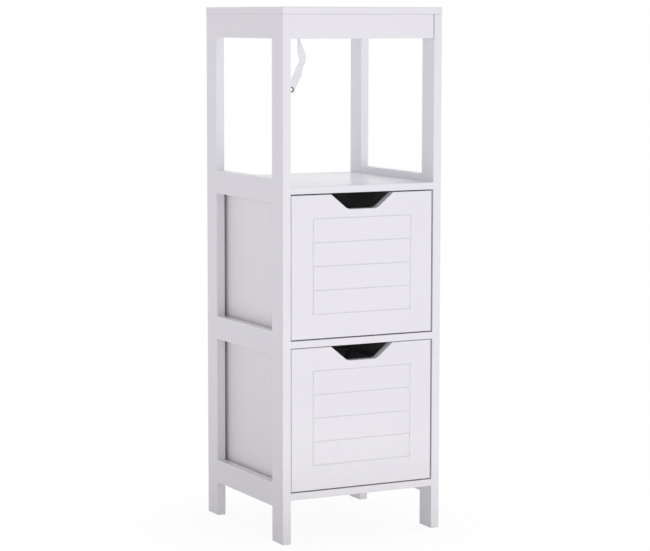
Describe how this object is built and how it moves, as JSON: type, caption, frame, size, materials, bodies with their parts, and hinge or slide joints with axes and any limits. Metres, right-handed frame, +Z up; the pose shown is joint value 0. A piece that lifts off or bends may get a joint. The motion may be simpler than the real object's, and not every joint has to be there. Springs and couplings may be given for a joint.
{
  "type": "bathroom cabinet",
  "caption": "Narrow free-standing bathroom cabinet with side frames, an open bay over two sliding drawers with notched pulls, and an anti-tip strap.",
  "frame": {"origin": "on the floor, under the middle of the cabinet's footprint", "axes": "+Z up, -Y towards the drawer fronts, +X to the right seen from the front"},
  "size_m": [0.3, 0.3, 0.89],
  "materials": {
    "white_lacquered_board": "satin white lacquer on MDF",
    "white_thin_board": "white lacquered fibreboard",
    "white_drawer_board": "white melamine on chipboard",
    "beech_dowel": "bare turned beech",
    "zinc_plated_steel": "bright zinc plate",
    "zinc_die_casting": "bare zinc die casting",
    "white_webbing": "woven white polyester webbing",
    "nickel_plated_brass": "nickel plate"
  },
  "bodies": {
    "cabinet": {"top_panel": "white_lacquered_board", "front_top_rail": "white_lacquered_board", "rear_top_rail": "white_lacquered_board", "left_front_post": "white_lacquered_board", "left_rear_post": "white_lacquered_board", "left_top_rail": "white_lacquered_board", "left_shelf_rail": "white_lacquered_board", "left_middle_rail": "white_lacquered_board", "left_bottom_rail": "white_lacquered_board", "right_front_post": "white_lacquered_board", "right_rear_post": "white_lacquered_board", "right_top_rail": "white_lacquered_board", "right_shelf_rail": "white_lacquered_board", "right_middle_rail": "white_lacquered_board", "right_bottom_rail": "white_lacquered_board", "open_shelf": "white_lacquered_board", "middle_shelf": "white_lacquered_board", "bottom_shelf": "white_lacquered_board", "left_upper_side_panel": "white_thin_board", "left_lower_side_panel": "white_thin_board", "right_upper_side_panel": "white_thin_board", "right_lower_side_panel": "white_thin_board", "upper_back_panel": "white_thin_board", "lower_back_panel": "white_thin_board", "left_frame_dowels": "beech_dowel", "right_frame_dowels": "beech_dowel", "top_dowels": "beech_dowel", "top_rail_dowels": "beech_dowel", "shelf_cam_bolts": "zinc_plated_steel", "top_cam_bolts": "zinc_plated_steel", "top_rail_cam_bolts": "zinc_plated_steel", "shelf_cam_locks": "zinc_die_casting", "top_cam_locks": "zinc_die_casting", "top_rail_cam_locks": "zinc_die_casting", "anti_tip_strap": "white_webbing", "rail_eyelet": "nickel_plated_brass", "wall_eyelet": "nickel_plated_brass", "strap_screw": "zinc_plated_steel"},
    "upper_drawer": {"upper_drawer_front": "white_lacquered_board", "upper_drawer_left_side": "white_drawer_board", "upper_drawer_right_side": "white_drawer_board", "upper_drawer_back": "white_drawer_board", "upper_drawer_bottom": "white_thin_board", "upper_drawer_cam_bolts": "zinc_plated_steel", "upper_drawer_cam_locks": "zinc_die_casting", "upper_drawer_screws": "zinc_plated_steel"},
    "lower_drawer": {"lower_drawer_front": "white_lacquered_board", "lower_drawer_left_side": "white_drawer_board", "lower_drawer_right_side": "white_drawer_board", "lower_drawer_back": "white_drawer_board", "lower_drawer_bottom": "white_thin_board", "lower_drawer_cam_bolts": "zinc_plated_steel", "lower_drawer_cam_locks": "zinc_die_casting", "lower_drawer_screws": "zinc_plated_steel"}
  },
  "joints": [
    {"name": "upper_drawer_slide", "type": "slide", "parent": "cabinet", "child": "upper_drawer", "axis": [0, -1, 0], "range_m": [0, 0.2]},
    {"name": "lower_drawer_slide", "type": "slide", "parent": "cabinet", "child": "lower_drawer", "axis": [0, -1, 0], "range_m": [0, 0.2]}
  ]
}
